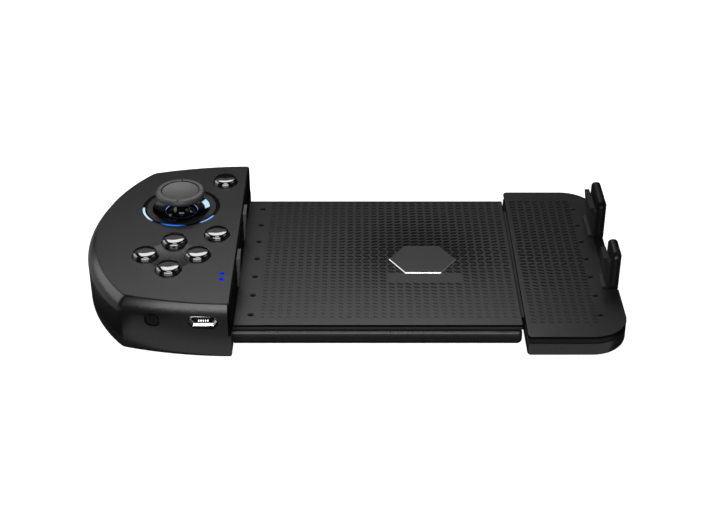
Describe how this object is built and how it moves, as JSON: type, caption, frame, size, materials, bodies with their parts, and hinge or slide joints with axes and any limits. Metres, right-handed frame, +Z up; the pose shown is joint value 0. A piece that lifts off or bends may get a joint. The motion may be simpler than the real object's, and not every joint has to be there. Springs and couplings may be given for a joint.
{
  "type": "mobile game controller",
  "caption": "Phone game controller: a rounded grip with thumb stick, push buttons and shoulder keys, and a flat telescoping bed whose claws hold the phone.",
  "frame": {"origin": "on the table's surface under the middle of the closed length, on the phone's centre line", "axes": "+X from the grip towards the claws, +Y towards the shoulder keys' side, +Z up from the table"},
  "size_m": [0.178, 0.096, 0.0275],
  "materials": {
    "face_matte": "fine matt moulded texture",
    "shell_gloss": "smooth gloss",
    "shell_lower": "satin moulding",
    "inner_plastic": "plain moulding",
    "button_gloss": "polished",
    "stick_gloss": "polished",
    "cap_rubber": "matt",
    "pad_rubber": "matt, light grey",
    "mat_rubber": "matt, grey",
    "foot_rubber": "matt",
    "nub_rubber": "matt, the grey of the bed",
    "claw_satin": "satin",
    "steel": "plain steel",
    "screw_black": "blackened steel",
    "nickel": "bright nickel plate",
    "contact_plastic": "moulded",
    "board": "solder mask",
    "chip": "moulded",
    "battery_foil": "laminated foil",
    "badge": "satin with a bright edge",
    "light_ring": "smoked, lit from below",
    "light_blue": "lit blue"
  },
  "bodies": {
    "root": {"pod_frame": "shell_gloss", "pod_bottom_cover": "shell_lower", "face_plate": "face_matte", "wall_plate": "face_matte", "wall_pad_rear": "pad_rubber", "wall_pad_front": "pad_rubber", "ring_light": "light_ring", "stick_well": "stick_gloss", "stick_box": "steel", "stick_sensors": "chip", "press_switch": "chip", "button_mat": "mat_rubber", "home_dome": "mat_rubber", "main_board": "board", "battery": "battery_foil", "status_lights": "light_blue", "light_pipes": "light_blue", "port_shell": "nickel", "port_tongue": "contact_plastic", "switch_base": "chip", "key_switches": "chip", "pod_screws": "screw_black", "flange_screws": "screw_black", "rubber_feet": "foot_rubber", "bed_tray": "shell_lower", "bed_skin": "face_matte", "bed_nubs": "nub_rubber", "badge_plate": "badge", "guide_rails": "inner_plastic", "return_springs": "steel"},
    "end_piece": {"slide_plate": "inner_plastic", "end_tray": "shell_lower", "end_band": "claw_satin", "end_skin": "face_matte", "end_nubs": "nub_rubber", "end_screws": "screw_black", "end_feet": "foot_rubber", "claw_strip": "claw_satin", "claw_frame_rear": "claw_satin", "claw_frame_front": "claw_satin", "claw_core_rear": "inner_plastic", "claw_core_front": "inner_plastic", "claw_pins": "steel", "claw_pad_rear": "pad_rubber", "claw_pad_front": "pad_rubber"},
    "yoke": {"stick_yoke": "inner_plastic"},
    "pivot": {"stick_pivot": "inner_plastic"},
    "stick": {"stick_shaft": "steel", "stick_stem": "stick_gloss", "stick_cap": "cap_rubber"},
    "face_button_1_body": {"face_button_1": "button_gloss"},
    "face_button_2_body": {"face_button_2": "button_gloss"},
    "face_button_3_body": {"face_button_3": "button_gloss"},
    "face_button_4_body": {"face_button_4": "button_gloss"},
    "extra_button_body": {"extra_button": "button_gloss"},
    "home_button_body": {"home_button": "button_gloss"},
    "bumper_key_body": {"bumper_key": "button_gloss"},
    "trigger_key_body": {"trigger_key": "button_gloss"},
    "switch_knob_body": {"switch_knob": "claw_satin"}
  },
  "joints": [
    {"name": "end_slide", "type": "slide", "parent": "root", "child": "end_piece", "axis": [1, 0, 0], "range_m": [0, 0.05], "stiffness_N_per_m": 60, "springref_m": -0.02},
    {"name": "stick_tilt_x", "type": "hinge", "parent": "root", "child": "yoke", "pos_m": [-0.05915, 0.0153, 0.0115], "axis": [1, 0, 0], "range_deg": [-16, 16], "stiffness_Nm_per_rad": 0.02},
    {"name": "stick_tilt_y", "type": "hinge", "parent": "yoke", "child": "pivot", "pos_m": [-0.05915, 0.0153, 0.0115], "axis": [0, 1, 0], "range_deg": [-16, 16], "stiffness_Nm_per_rad": 0.02},
    {"name": "stick_press", "type": "slide", "parent": "pivot", "child": "stick", "axis": [0, 0, -1], "range_m": [0, 0.0004], "stiffness_N_per_m": 1500, "springref_m": -0.0003},
    {"name": "face_button_1_press", "type": "slide", "parent": "root", "child": "face_button_1_body", "axis": [0, 0, -1], "range_m": [0, 0.001], "stiffness_N_per_m": 600, "springref_m": -0.0005},
    {"name": "face_button_2_press", "type": "slide", "parent": "root", "child": "face_button_2_body", "axis": [0, 0, -1], "range_m": [0, 0.001], "stiffness_N_per_m": 600, "springref_m": -0.0005},
    {"name": "face_button_3_press", "type": "slide", "parent": "root", "child": "face_button_3_body", "axis": [0, 0, -1], "range_m": [0, 0.001], "stiffness_N_per_m": 600, "springref_m": -0.0005},
    {"name": "face_button_4_press", "type": "slide", "parent": "root", "child": "face_button_4_body", "axis": [0, 0, -1], "range_m": [0, 0.001], "stiffness_N_per_m": 600, "springref_m": -0.0005},
    {"name": "extra_button_press", "type": "slide", "parent": "root", "child": "extra_button_body", "axis": [0, 0, -1], "range_m": [0, 0.001], "stiffness_N_per_m": 600, "springref_m": -0.0005},
    {"name": "home_button_press", "type": "slide", "parent": "root", "child": "home_button_body", "axis": [0, 0, -1], "range_m": [0, 0.001], "stiffness_N_per_m": 600, "springref_m": -0.0005},
    {"name": "bumper_press", "type": "slide", "parent": "root", "child": "bumper_key_body", "axis": [0, -1, 0], "range_m": [0, 0.0008], "stiffness_N_per_m": 800, "springref_m": -0.0005},
    {"name": "trigger_press", "type": "slide", "parent": "root", "child": "trigger_key_body", "axis": [0, -1, 0], "range_m": [0, 0.0012], "stiffness_N_per_m": 800, "springref_m": -0.0005},
    {"name": "switch_slide", "type": "slide", "parent": "root", "child": "switch_knob_body", "axis": [0.9784, -0.2069, 0], "range_m": [-0.0006, 0.0006]}
  ]
}
